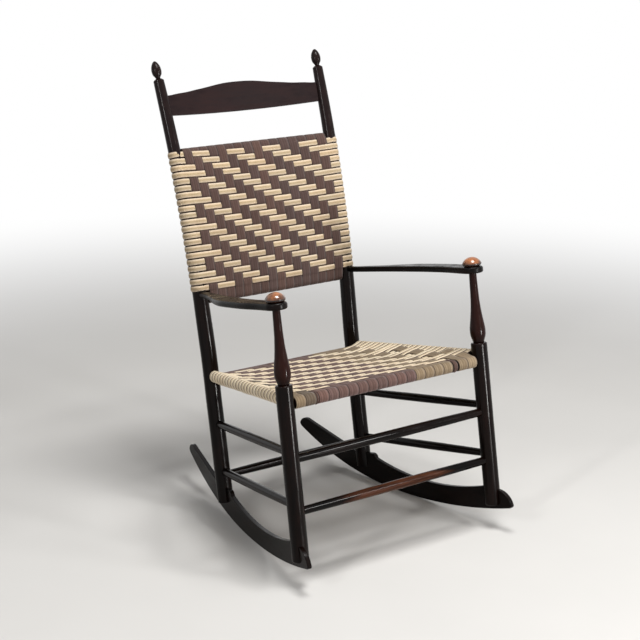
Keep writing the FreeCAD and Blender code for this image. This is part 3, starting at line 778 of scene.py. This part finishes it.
@dataclass
class BackPanel:
    """The woven back: upright brown tapes round two rails, tan tapes round the posts."""

    weft_count: int = 21
    weft_width: float = 13.2
    weft_pitch: float = 15.61
    weft_crown: float = 1.5
    weft_change: float = 0.05
    weft_top: float = 886.5
    weft_tilt: float = 1.0
    weft_top_tilt: float = 2.7
    weft_sag: float = 1.9
    weft_top_sag: float = 4.2
    weft_top_fade: int = 3
    warp_count: int = 16
    warp_low_pitch: float = 24.05
    warp_high_pitch: float = 25.6
    warp_crown: float = 0.4
    warp_change: float = 0.13
    warp_steps: int = 132
    drift_start: float = 690.0
    drift_rise: float = 0.0755
    drift_ease: float = 26.0
    drift_middle: float = 0.7
    drift_spread: float = 8.6
    relief: float = 1.6
    post_gap: float = 1.0
    rail_gap: float = 1.4
    soft_edge: float = 0.5
    steps_per_warp: int = 7
    corrections: int = 4
    seed: int = 11

    def weft_over(self, column: int, row: int) -> float:
        """1 where the crossways tape of a row lies over an upright tape, or -1."""
        return 1.0 if (column - row) % 4 in (1, 2) else -1.0

    def drop(self, row: float, x: float) -> float:
        """How far a crossways tape hangs below its level at a place.

        Args:
            row: the tape's row, from the top.
            x: distance to the right of the chair's middle.

        Returns:
            The distance: the tapes tilt down to the right and sag, most of all near the top.
        """
        side = held(x / LINES.back_axis(self.weft_top).x, -1.0, 1.0)
        top = (1 - held(row / self.weft_count)) ** self.weft_top_fade
        tilt = self.weft_tilt + self.weft_top_tilt * top
        sag = self.weft_sag + self.weft_top_sag * top
        return tilt * side + sag * (1 - side * side)

    def row_height(self, row: float, x: float) -> float:
        """Height of the middle of a row, counted from the top, at a place across the back."""
        return self.weft_top - self.weft_pitch * (row + 0.5) - self.drop(row, x)

    def row_at(self, height: float, x: float) -> float:
        """The row, as a number with a fraction, that passes a place."""
        row = (self.weft_top - height) / self.weft_pitch - 0.5
        return row - self.drop(row, x) / self.weft_pitch

    def warp_x(self, place: float, height: float) -> float:
        """Distance to the right of a line along the upright tapes.

        Args:
            place: the line, counted in tapes from the middle of the back.
            height: height above the front feet.

        Returns:
            The distance; towards the top the middle tapes drift to the left.
        """
        share = (height - LINES.lower_panel_rail) / (LINES.upper_panel_rail - LINES.lower_panel_rail)
        above = height - self.drift_start
        rise = (above + math.hypot(above, self.drift_ease)) / 2
        off = (place - self.drift_middle) / self.drift_spread
        pitch = blend(self.warp_low_pitch, self.warp_high_pitch, share)
        return place * pitch - self.drift_rise * rise * (1 - off * off)

    def warp_at(self, x: float, height: float) -> float:
        """The line along the upright tapes that passes a place.

        Args:
            x: distance to the right of the chair's middle.
            height: height above the front feet.

        Returns:
            The line, counted in tapes from the middle of the back, after a few corrections.
        """
        place = x / self.warp_high_pitch
        for _ in range(self.corrections):
            place += (x - self.warp_x(place, height)) / self.warp_low_pitch
        return place

    def reach(self, x: float, height: float) -> float:
        """Distance of the woven surface from the middle plane of the posts.

        Args:
            x: distance to the right of the chair's middle.
            height: height above the front feet.

        Returns:
            The distance, which runs from the rails' to the posts' at the edges.
        """
        to_post = max(LINES.back_axis(height).x - abs(x), 0.0) + self.soft_edge
        low, high = height - LINES.lower_panel_rail, LINES.upper_panel_rail - height
        to_rail = max(low, 0.0) * max(high, 0.0) / max(low + high, 1.0) + self.soft_edge
        at_post = LINES.back_radius(height) + self.post_gap
        at_rail = LINES.panel_rail_radius + self.rail_gap
        return (at_post * to_rail + at_rail * to_post) / (to_post + to_rail)

    def face_point(self, x: float, height: float, side: float, over: float) -> Station:
        """A station on the front or rear face of the panel.

        Args:
            x: distance to the right of the chair's middle.
            height: height above the front feet.
            side: 1 for the front face, -1 for the rear one.
            over: how far the tape runs over the others, from -1 to 1.

        Returns:
            The point and the direction out of the face.
        """
        out = LINES.back_ahead(height) * side
        centre = LINES.back_axis(height)
        return Vector((x, centre.y, centre.z)) + out * (self.reach(x, height) + self.relief * over), out

    def weft_line(self, row: int, offset: float) -> Stations:
        """One line along a crossways tape, all the way round the panel.

        Args:
            row: the tape's row, from the top.
            offset: how far the line lies above the tape's middle.

        Returns:
            The line's stations.
        """
        sides = [self.weft_over(column, row) for column in range(self.warp_count)]
        half = LINES.back_axis(self.row_height(row, 0.0)).x
        stations: Stations = []
        for side in BOTH_FACES:
            for x in spread(-half * side, half * side, self.warp_count * self.steps_per_warp):
                height = self.row_height(row, x) + offset
                cell = self.warp_at(x, height) + (self.warp_count - 1) / 2
                stations.append(self.face_point(x, height, side, woven(sides, cell)))
            height = self.row_height(row, half * side) + offset
            post = LINES.back_axis(height)
            stations += bend(Vector((post.x * side, post.y, post.z)), LINES.back_ahead(height) * side,
                             RIGHTWARDS * side, LINES.back_radius(height) + self.post_gap, POST_STEPS)
        return stations + stations[:1]

    def warp_line(self, column: int, offset: float) -> Stations:
        """One line along an upright tape, all the way round the panel.

        Args:
            column: the tape's place, from the left.
            offset: how far the line lies to the right of the tape's middle.

        Returns:
            The line's stations.
        """
        sides = [-self.weft_over(column, row) for row in range(self.weft_count)]
        place = column - (self.warp_count - 1) / 2 + offset / self.warp_low_pitch
        low, high = LINES.lower_panel_rail, LINES.upper_panel_rail
        stations: Stations = []
        for side, start, end in ((1.0, low, high), (-1.0, high, low)):
            for height in spread(start, end, self.warp_steps):
                x = self.warp_x(place, height)
                stations.append(self.face_point(x, height, side, woven(sides, self.row_at(height, x))))
            centre = LINES.back_axis(end)
            stations += bend(Vector((self.warp_x(place, end), centre.y, centre.z)),
                             LINES.back_ahead(end) * side, LINES.back_lean(end) * side,
                             LINES.panel_rail_radius + self.rail_gap, RAIL_STEPS)
        return stations + stations[:1]

    def build(self, tan: Material, brown: Material) -> None:
        """Makes the upright and the crossways tapes.

        Args:
            tan: cloth of the crossways tapes.
            brown: cloth of the upright tapes.
        """
        luck = random.Random(self.seed)
        warps = [Ribbon(partial(self.warp_line, column), self.warp_low_pitch,
                        shaded(SHADES.brown, luck, self.warp_change), self.warp_crown)
                 for column in range(self.warp_count)]
        wefts = [Ribbon(partial(self.weft_line, row), self.weft_width,
                        shaded(SHADES.tan, luck, self.weft_change), self.weft_crown)
                 for row in range(self.weft_count)]
        TapePiece("back_upright_tapes", "back_warp_tapes", "brown_tape").make(warps, brown)
        TapePiece("back_crossways_tapes", "back_weft_tapes", "tan_tape").make(wefts, tan)


@dataclass(frozen=True)
class SeatStrip:
    """One front-to-back tape: where it crosses the two rails, and how far back it runs if short."""

    column: int
    front_x: float
    back_x: float
    colour: Colour
    end: float = 0.0

    def x_at(self, place: float) -> float:
        """Middle of the strip at a distance behind the front rail."""
        return blend(self.front_x, self.back_x, place / LINES.seat_back())


@dataclass
class Seat:
    """The woven seat: tapes from front to back, short strips in the corners, tan tapes across."""

    warp_count: int = 14
    warp_pitch: float = 26.5
    warp_width: float = 26.1
    warp_crown: float = 0.12
    warp_change: float = 0.1
    warp_steps: int = 158
    brown_strips: int = 10
    front_shift: float = -6.0
    weft_count: int = 24
    weft_pitch: float = 16.0
    weft_width: float = 13.7
    weft_crown: float = 1.5
    weft_change: float = 0.05
    weft_steps: int = 124
    first_weft: float = 27.9
    relief: float = 1.1
    wrap_gap: float = 1.2
    bulge: float = 2.6
    bulge_inset: float = 34.0
    bulge_run: float = 46.0
    bulge_fade: float = 0.7
    dip: float = 4.0
    rise_run: float = 82.0
    rise_fade: float = 0.45
    under_run: float = 34.0
    corner_outer: float = 250.9
    corner_crown: float = 0.25
    corner_change: float = 0.05
    corner_spare: float = 6.0
    corner_step: float = 2.7
    tuck: float = 22.0
    tuck_steps: int = 4
    twist_places: tuple[tuple[int, float, float], ...] = ((-1, -194.8, 6.0), (14, 188.6, 11.5))
    twist_end: float = 20.0
    twist_crown: float = 2.2
    seed: int = 23

    def weft_over(self, column: int, row: int) -> float:
        """1 where a side-to-side tape lies over a front-to-back one, or -1; rows from the front."""
        return 1.0 if (column + row) % 4 in (0, 1) else -1.0

    def wrap(self) -> float:
        """Distance of the tapes from the centre of a rail that they go round."""
        return LINES.seat_rail_radius + self.wrap_gap

    def strips(self) -> list[SeatStrip]:
        """Every front-to-back tape and corner strip, from left to right.

        Returns:
            The strips, with the places where they cross the front and back rails.
        """
        luck = random.Random(self.seed)
        found = []
        for column in range(self.warp_count):
            x = (column - (self.warp_count - 1) / 2) * self.warp_pitch
            base = SHADES.mauve if column < self.brown_strips else SHADES.olive
            found.append(SeatStrip(column, x + self.front_shift, x, shaded(base, luck, self.warp_change)))
        front, back = (LINES.side_rail_axis(place).x for place in (0.0, LINES.seat_back()))
        slope = (front - back) / LINES.seat_back()
        inner = front - LINES.seat_rail_radius
        for side, corner in ((-1.0, ((-2, SHADES.olive), (-1, SHADES.dusk))),
                             (1.0, ((15, SHADES.corner_tan), (14, SHADES.olive)))):
            for step, (column, colour) in enumerate(corner):
                x = (self.corner_outer - self.warp_width / 2 - step * self.warp_pitch) * side
                end = (inner - abs(x) - self.warp_width / 2 + self.corner_spare) / slope
                found.append(SeatStrip(column, x, x, shaded(colour, luck, self.corner_change), end))
        return sorted(found, key=lambda strip: strip.front_x)

    def twists(self) -> list[Ribbon]:
        """The narrow rolled tapes that close the gaps between the long tapes and the corner strips."""
        return [Ribbon(partial(self.warp_line, SeatStrip(column, x, x, SHADES.roll, self.twist_end)), width,
                       SHADES.roll, self.twist_crown, closed=False) for column, x, width in self.twist_places]

    def surface(self, x: float, place: float, side: float) -> float:
        """Height of the woven surface above or below the seat.

        Args:
            x: distance to the right of the chair's middle.
            place: distance behind the front rail.
            side: 1 for the upper layer, -1 for the lower one.

        Returns:
            The height, which climbs to the side rails at the edges.
        """
        back = LINES.seat_back()
        share = held(place / back)
        level = LINES.seat_level(place) + side * self.wrap()
        if side > 0:
            level -= 4 * self.dip * share * (1 - share)
        rail = LINES.side_rail_axis(place)
        to_rail = max(rail.x - abs(x), 0.0)
        run = self.rise_run if side > 0 else self.under_run
        to_end = back * share * (1 - share)
        near = max(1 - to_rail / run, 0.0) ** 2
        near *= (to_end ** 2 + 1.0) / (to_end ** 2 + self.rise_fade * to_rail ** 2 + 1.0)
        height = blend(level, rail.z + side * self.wrap(), near)
        if side > 0:
            swell = math.exp(-((to_rail - self.bulge_inset) / self.bulge_run) ** 2)
            swell *= ease(to_rail / self.bulge_inset)
            height += self.bulge * swell * math.sin(math.pi * share) ** self.bulge_fade
        return height

    def face_point(self, x: float, place: float, side: float, over: float) -> Station:
        """A station on the upper or lower layer, for a tape that runs over or under the others."""
        height = self.surface(x, place, side) + side * self.relief * over
        return Vector((x, place, height)), UPWARDS * side

    def cell_at(self, x: float, centres: list[float]) -> float:
        """Place of a point among the strips that a side-to-side tape crosses.

        Args:
            x: distance to the right of the chair's middle.
            centres: the middles of those strips.

        Returns:
            The place, where a whole number is the middle of a strip.
        """
        if x <= centres[0]:
            return (x - centres[0]) / self.warp_pitch
        for i, (a, b) in enumerate(zip(centres, centres[1:])):
            if x <= b:
                return i + (x - a) / (b - a)
        return len(centres) - 1 + (x - centres[-1]) / self.warp_pitch

    def weft_line(self, row: int, strips: list[SeatStrip], offset: float) -> Stations:
        """One line along a side-to-side tape, all the way round the seat.

        Args:
            row: the tape's row, from the front.
            strips: the strips that it may cross.
            offset: how far the line lies behind the tape's middle.

        Returns:
            The line's stations.
        """
        middle = self.first_weft + row * self.weft_pitch
        crossed = [strip for strip in strips if not strip.end or strip.end > middle]
        centres = [strip.x_at(middle) for strip in crossed]
        sides = [self.weft_over(strip.column, row) for strip in crossed]
        place = middle + offset
        rail = LINES.side_rail_axis(place)
        stations: Stations = []
        for side in BOTH_FACES:
            for x in spread(-rail.x * side, rail.x * side, self.weft_steps):
                stations.append(self.face_point(x, place, side, woven(sides, self.cell_at(x, centres))))
            stations += bend(Vector((rail.x * side, place, rail.z)), UPWARDS * side,
                             RIGHTWARDS * side, self.wrap(), POST_STEPS)
        return stations + stations[:1]

    def layer(self, strip: SeatStrip, places: list[float], offset: float, side: float) -> Stations:
        """Part of a line along a front-to-back tape, on one layer of the seat.

        Args:
            strip: the tape.
            places: distances behind the front rail.
            offset: how far the line lies to the right of the tape's middle.
            side: 1 for the upper layer, -1 for the lower one.

        Returns:
            The stations at those places.
        """
        sides = [-self.weft_over(strip.column, row) for row in range(self.weft_count)]
        cells = [(place - self.first_weft) / self.weft_pitch for place in places]
        return [self.face_point(strip.x_at(place) + offset, place, side, woven(sides, cell))
                for place, cell in zip(places, cells)]

    def turn(self, strip: SeatStrip, place: float, height: float, offset: float, side: float) -> Stations:
        """Part of a line along a front-to-back tape: round the back rail, or the front one at side -1."""
        centre = Vector((strip.x_at(place) + offset, place, height))
        return bend(centre, UPWARDS * side, BACKWARDS * side, self.wrap(), RAIL_STEPS)

    def warp_line(self, strip: SeatStrip, offset: float) -> Stations:
        """One line along a front-to-back tape, all the way round, or along a short strip.

        Args:
            strip: the tape.
            offset: how far the line lies to the right of the tape's middle.

        Returns:
            The line's stations.
        """
        back = LINES.seat_back()
        front_turn = self.turn(strip, 0.0, LINES.front_rail, offset, -1.0)
        if strip.end:
            steps = max(round(strip.end / self.corner_step), self.tuck_steps)
            tucked = self.layer(strip, spread(self.tuck, 0.0, self.tuck_steps), offset, -1.0)
            return tucked + front_turn + self.layer(strip, spread(0.0, strip.end, steps), offset, 1.0)
        top = self.layer(strip, spread(0.0, back, self.warp_steps), offset, 1.0)
        under = self.layer(strip, spread(back, 0.0, self.warp_steps), offset, -1.0)
        back_turn = self.turn(strip, back, LINES.back_rail, offset, 1.0)
        return top + back_turn + under + front_turn + top[:1]

    def build(self, tan: Material, brown: Material) -> None:
        """Makes the front-to-back tapes, the corner strips and the side-to-side tapes.

        Args:
            tan: cloth of the side-to-side tapes.
            brown: cloth of the front-to-back tapes and the corner strips.
        """
        luck = random.Random(self.seed + 1)
        strips = self.strips()
        long = [Ribbon(partial(self.warp_line, s), self.warp_width, s.colour, self.warp_crown)
                for s in strips if not s.end]
        short = [Ribbon(partial(self.warp_line, s), self.warp_width, s.colour, self.corner_crown,
                        closed=False) for s in strips if s.end]
        wefts = [Ribbon(partial(self.weft_line, row, strips), self.weft_width,
                        shaded(SHADES.seat_tan, luck, self.weft_change), self.weft_crown)
                 for row in range(self.weft_count)]
        TapePiece("seat_lengthways_tapes", "seat_warp_tapes", "brown_tape").make(long, brown)
        TapePiece("seat_corner_strips", "seat_gusset_tapes", "tan_tape").make(short + self.twists(), brown)
        TapePiece("seat_crossways_tapes", "seat_weft_tapes", "tan_tape").make(wefts, tan)


@dataclass
class SeatPad:
    """The stuffed pad between the two layers of the seat."""

    name: str = "seat_cushion"
    front_half: float = 240.0
    back_half: float = 182.0
    front: float = 16.0
    back: float = 406.0
    low: float = 334.6
    high: float = 351.2
    crown: float = 1.6
    pull: float = 5.0
    draw_in: float = 0.035
    rim_thin: float = 0.55
    rim_sharpness: int = 8
    cuts: int = 15

    def place(self, u: float, v: float, w: float) -> Vector:
        """Where a point of a cube goes in the pad.

        Args:
            u: the point's x, from -1 to 1.
            v: its y, from -1 at the front to 1 at the back.
            w: its height, from -1 to 1.

        Returns:
            The point in the pad, whose sides pull in between its corners.
        """
        share = (v + 1) / 2
        wide = blend(self.front_half, self.back_half, share) - self.pull * (1 - v * v) * abs(u)
        deep = blend(self.front, self.back, share) - self.pull * v * (1 - u * u)
        narrow = 1 - self.draw_in * w * w
        puff = 1 - self.rim_thin * max(abs(u), abs(v)) ** self.rim_sharpness
        middle, half = (self.low + self.high) / 2, (self.high - self.low) / 2
        belly = self.crown * (1 - u * u) * (1 - v * v) * (1 - max(w, 0))
        centre = (self.front + self.back) / 2
        height = middle + w * (half * puff + belly)
        return Vector((u * wide * narrow, centre + (deep - centre) * narrow, height))

    def build(self, cloth: Material) -> None:
        """Makes the pad: a crowned closed cushion.

        Args:
            cloth: its cover.
        """
        mesh = bmesh.new()
        bmesh.ops.create_cube(mesh, size=2.0)
        level = [e for e in mesh.edges if abs(e.verts[0].co.z - e.verts[1].co.z) < 1]
        bmesh.ops.subdivide_edges(mesh, edges=level, cuts=self.cuts, use_grid_fill=True)
        upright = [e for e in mesh.edges if abs(e.verts[0].co.z - e.verts[1].co.z) > 1]
        bmesh.ops.subdivide_edges(mesh, edges=upright, cuts=1)
        for vert in mesh.verts:
            vert.co = POSE.placed(self.place(*vert.co))
        for face in mesh.faces:
            face.smooth = True
        bmesh.ops.recalc_face_normals(mesh, faces=mesh.faces)
        pad = finished(self.name, mesh, cloth)
        round_off = pad.modifiers.new("round", "SUBSURF")
        round_off.levels = round_off.render_levels = 1
        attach(pad, "root")
        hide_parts("seat_pad")
        LOG.info("%s: %d faces", self.name, len(pad.data.polygons))


# Wood

@dataclass
class Woodwork:
    """The turned and sawn wood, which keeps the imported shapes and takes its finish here."""

    # The back posts' paler upper part is painted reflection.
    upright: StainedWood = StainedWood("stained_wood_posts", tone_and_sheen_heights=(0.5, 0.8))
    across: StainedWood = StainedWood("stained_wood_rungs", Grain.ACROSS)
    backward: StainedWood = StainedWood("stained_wood_sides", Grain.BACKWARD, red_share=0.4)
    # The slat's lighter mauve-brown base is partly its own colour and partly painted sheen.
    slat: StainedWood = StainedWood("stained_wood_slat", Grain.ACROSS, dark=(0.0089, 0.0042, 0.0047),
                                    red=(0.0147, 0.0055, 0.0059), gloss=0.26)
    vases: StainedWood = StainedWood("stained_wood_front_posts", red_share=0.6,
                                     pale=(0.014, 0.0036, 0.0026), tone_and_sheen_heights=(0.43, 0.47))
    trodden: StainedWood = StainedWood("stained_wood_worn", Grain.ACROSS, red_share=0.9, wear=0.24,
                                       wear_centre=(0.0, -0.34, 0.17), wear_reach=(0.3, 0.5, 0.5))
    arms: StainedWood = StainedWood("stained_wood_arms", Grain.BACKWARD, red_share=0.8, wear=0.02,
                                    wear_centre=(0.0, -0.2, 0.6), wear_reach=(0.6, 0.5, 0.5), gloss=0.24)
    caps: CapWood = CapWood()

    def finishes(self) -> list[tuple[StainedWood | CapWood, list[str]]]:
        """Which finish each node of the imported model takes.

        Returns:
            The finishes, each with the names of its nodes.
        """
        def pair(*names: str) -> list[str]:
            """The left and the right node of each name."""
            return [f"{name}_{side}" for name in names for side in ("left", "right")]

        return [
            (self.upright, pair("back_post") + ["rocker_pins", "slat_pins"]),
            (self.vases, pair("front_post")),
            (self.slat, ["top_slat"]),
            (self.across, ["back_rail_upper", "back_rail_lower", "seat_rail_front", "seat_rail_back",
                           "front_rung_upper", "back_rung"]),
            (self.trodden, ["front_rung_lower"]),
            (self.backward, pair("seat_rail", "side_rung_upper", "side_rung_lower", "rocker")),
            (self.arms, pair("arm")),
            (self.caps, pair("arm_cap")),
        ]

    def dress(self) -> None:
        """Gives every wooden node its finish."""
        for finish, names in self.finishes():
            material = finish.material()
            for name in names:
                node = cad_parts[name]
                if not node.material_slots:
                    node.data.materials.append(material)
                for slot in node.material_slots:
                    slot.material = material
            LOG.info("%s on %s", finish.name, ", ".join(names))


# Floor, lights and camera

@dataclass(frozen=True)
class Lamp:
    """One soft rectangular lamp: where it hangs, its width and height, its power and its tint."""

    name: str
    place: Spot
    size: Span
    watts: float
    tint: Colour = (1.0, 0.985, 0.965)

    def hang(self, target: Spot) -> None:
        """Hangs the lamp.

        Args:
            target: the place that it faces.
        """
        data = bpy.data.lights.new(self.name, "AREA")
        data.shape, data.energy, data.color = "RECTANGLE", self.watts, self.tint
        data.size, data.size_y = self.size
        lamp = linked(self.name, data)
        lamp.location = self.place
        lamp.rotation_euler = (Vector(target) - Vector(self.place)).to_track_quat("-Z", "Y").to_euler()


@dataclass
class Studio:
    """A plain pale floor, soft lamps, and a white surround for what looks past the chair."""

    white: Colour = (1.0, 1.0, 1.0)
    surround_colour: Colour = (1.0, 0.985, 0.96)
    surround: float = 0.22
    floor_colour: Colour = (0.6, 0.593, 0.582)
    floor_mottle: float = 1.03
    floor_radius: float = 14.0
    floor_corners: int = 96
    floor_fade: Span = (1.1, 3.4)
    target: Spot = (0.0, 0.0, 0.5)
    lamps: tuple[Lamp, ...] = (
        Lamp("window", (0.78, -2.55, 0.43), (0.16, 0.5), 38.0),
        Lamp("window_foot", (0.78, -2.55, 0.1), (0.16, 0.14), 2.2),
        Lamp("high_window", (1.55, -2.5, 1.85), (0.5, 0.32), 28.0),
        Lamp("side_window", (-2.85, -1.0, 2.1), (0.2, 0.9), 26.0, (1.0, 0.985, 0.97)),
        Lamp("ceiling", (0.1, -0.6, 3.3), (1.1, 1.1), 92.0, (1.0, 0.99, 0.97)))

    def build_world(self) -> None:
        """White to the camera and to reflections, a soft even light to the rest."""
        world = bpy.data.worlds.new("surround")
        bpy.context.scene.world = world
        n = Nodes(world, "OutputWorld")
        soft = n.add("Background", {"Color": self.surround_colour, "Strength": self.surround}).outputs[0]
        white = n.add("Background", {"Color": self.white, "Strength": 1.0}).outputs[0]
        n.feed(n.end, n.add("MixShader", {"Fac": n.seen(), 1: soft, 2: white}).outputs[0])

    def build_floor(self) -> None:
        """A wide pale disc that turns white far from the chair."""
        mesh = bmesh.new()
        bmesh.ops.create_circle(mesh, cap_ends=True, segments=self.floor_corners, radius=self.floor_radius)
        n = Finish("pale_floor")
        far = n.ranged(n.distance(), self.floor_fade)
        mottle = n.ramp(n.noise(n.where, scale=2.5, detail=3.0, rough=0.5), (0.3, 0.7),
                        (self.floor_colour, tuple(c * self.floor_mottle for c in self.floor_colour)))
        n.done(mottle, {"Roughness": 0.8, "Specular IOR Level": 0.1})
        glow = n.add("Emission", {"Color": self.white, "Strength": 1.0}).outputs[0]
        feeds = {"Fac": n.times(far, n.seen()), 1: n.surface.outputs["BSDF"], 2: glow}
        n.feed(n.end, n.add("MixShader", feeds).outputs[0])
        floor = finished("floor", mesh, n.material)

    def build(self) -> None:
        """Sets up the surround, the floor and the lamps."""
        self.build_world()
        self.build_floor()
        for lamp in self.lamps:
            lamp.hang(self.target)
        LOG.info("surround, floor and %d lamps", len(self.lamps))


@dataclass(frozen=True)
class Viewpoint:
    """The camera, at the photograph's place and angle."""

    place: Spot = (-1.92942, -2.78946, 1.49974)
    right: Spot = (0.823727, -0.566974, 0.003739)
    up: Spot = (0.160653, 0.239718, 0.957458)
    forward: Spot = (0.543750, 0.788083, -0.288548)
    lens: float = 84.994
    sensor: float = 36.0

    def build(self) -> None:
        """Makes the camera and looks through it."""
        data = bpy.data.cameras.new("viewpoint")
        data.lens, data.sensor_width, data.sensor_fit = self.lens, self.sensor, "AUTO"
        camera = linked("viewpoint", data)
        turn = Matrix((self.right, self.up, tuple(-f for f in self.forward))).transposed().to_4x4()
        camera.matrix_world = Matrix.Translation(self.place) @ turn
        bpy.context.scene.camera = camera


def main() -> None:
    """Builds the camera, the studio, the wood, the tapes and the pad, in that order."""
    logging.basicConfig(level=logging.INFO, format="%(message)s")
    bpy.context.scene.view_settings.view_transform = "Standard"
    Viewpoint().build()
    Studio().build()
    Woodwork().dress()
    # Both cloths paint shade along the tapes' rims, where neighbouring tapes meet.
    tan = TapeCloth("tan_tape").material()
    brown = TapeCloth("brown_tape", ribs=4.0, picks=0.25, rib_dark=0.7, streak=0.7, heart=0.3,
                      edge_light=0.02, gap_shade=0.85, gap_shade_from=0.91).material()
    BackPanel().build(tan, brown)
    Seat().build(tan, brown)
    SeatPad().build(PadCloth().material())


if __name__ == "__main__":
    main()
